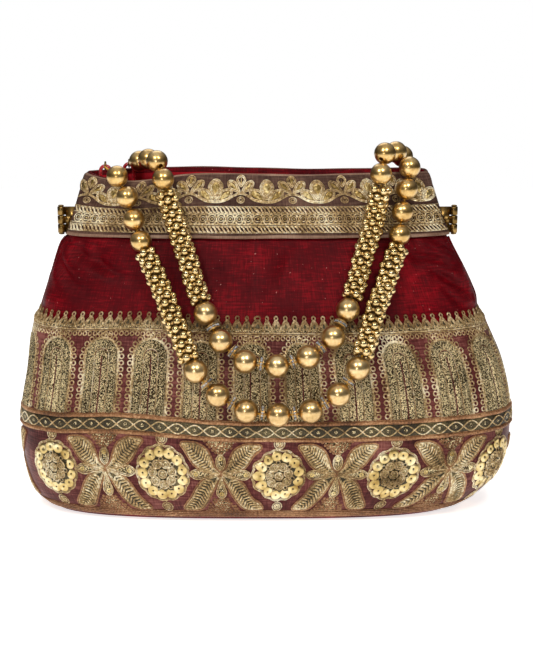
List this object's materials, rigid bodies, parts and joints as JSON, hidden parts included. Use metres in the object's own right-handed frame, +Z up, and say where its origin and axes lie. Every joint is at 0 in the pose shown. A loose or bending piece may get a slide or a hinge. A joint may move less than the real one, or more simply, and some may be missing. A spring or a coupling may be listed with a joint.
{
  "type": "potli bag",
  "caption": "Wide soft pouch handbag with a flat base, embroidered border panels, a spring frame mouth and a pair of swinging bead-strung handles.",
  "frame": {"origin": "centre of the flat base, on the plane it rests on, midway between front and back", "axes": "+Z up, the front faces -Y, +X to the right seen from the front"},
  "size_m": [0.2611, 0.1184, 0.1925],
  "materials": {
    "silk": "slubbed raw silk, deep red",
    "lining": "plain woven lining, red",
    "border_cloth": "dusty pink cloth closely worked with gold thread and sequins",
    "band_cloth": "mauve-brown cloth worked with gold cord and sequins",
    "board": "stiff grey card board",
    "frame_metal": "rolled spring strip, polished",
    "gold_bead": "gold-coated, mirror bright",
    "gold_sleeve": "pale gold coated small beads",
    "cord": "yellow beading thread with silvery wheels",
    "ring_metal": "gold plated wire",
    "satin": "glossy satin cord, red"
  },
  "bodies": {
    "sack": {"silk_front": "silk", "silk_back": "silk", "silk_base": "silk", "base_board": "board", "lining": "lining", "border_front": "border_cloth", "border_back": "border_cloth", "frame_strip_front": "frame_metal", "frame_strip_back": "frame_metal", "hinge_pin_left": "frame_metal", "hinge_pin_right": "frame_metal", "band_front": "band_cloth", "band_back": "band_cloth", "front_handle_ring_left": "ring_metal", "front_handle_tab_left": "satin", "front_handle_ring_right": "ring_metal", "front_handle_tab_right": "satin", "back_handle_medium_1": "gold_bead", "back_handle_medium_2": "gold_bead", "back_handle_medium_7": "gold_bead", "back_handle_medium_8": "gold_bead", "back_handle_ring_left": "ring_metal", "back_handle_tab_left": "satin", "back_handle_ring_right": "ring_metal", "back_handle_tab_right": "satin"},
    "front_handle": {"front_handle_medium_1": "gold_bead", "front_handle_medium_2": "gold_bead", "front_handle_medium_3": "gold_bead", "front_handle_medium_4": "gold_bead", "front_handle_medium_5": "gold_bead", "front_handle_medium_6": "gold_bead", "front_handle_medium_7": "gold_bead", "front_handle_medium_8": "gold_bead", "front_handle_large_1": "gold_bead", "front_handle_large_2": "gold_bead", "front_handle_large_3": "gold_bead", "front_handle_large_4": "gold_bead", "front_handle_large_5": "gold_bead", "front_handle_large_6": "gold_bead", "front_handle_large_7": "gold_bead", "front_handle_sleeve_1": "gold_sleeve", "front_handle_sleeve_2": "gold_sleeve", "front_handle_cord": "cord"},
    "back_handle": {"back_handle_medium_3": "gold_bead", "back_handle_medium_4": "gold_bead", "back_handle_medium_5": "gold_bead", "back_handle_medium_6": "gold_bead", "back_handle_large_1": "gold_bead", "back_handle_large_2": "gold_bead", "back_handle_large_3": "gold_bead", "back_handle_large_4": "gold_bead", "back_handle_large_5": "gold_bead", "back_handle_large_6": "gold_bead", "back_handle_large_7": "gold_bead", "back_handle_sleeve_1": "gold_sleeve", "back_handle_sleeve_2": "gold_sleeve", "back_handle_cord": "cord"}
  },
  "joints": [
    {"name": "front_handle_swing", "type": "hinge", "parent": "sack", "child": "front_handle", "pos_m": [-0.07, -0.01975, 0.17561], "axis": [-0.9994, -0.0196, -0.0292], "range_deg": [0, 140]},
    {"name": "back_handle_swing", "type": "hinge", "parent": "sack", "child": "back_handle", "pos_m": [-0.05012, -0.01739, 0.18302], "axis": [-0.9992, 0.0167, -0.0356], "range_deg": [0, 165]}
  ]
}
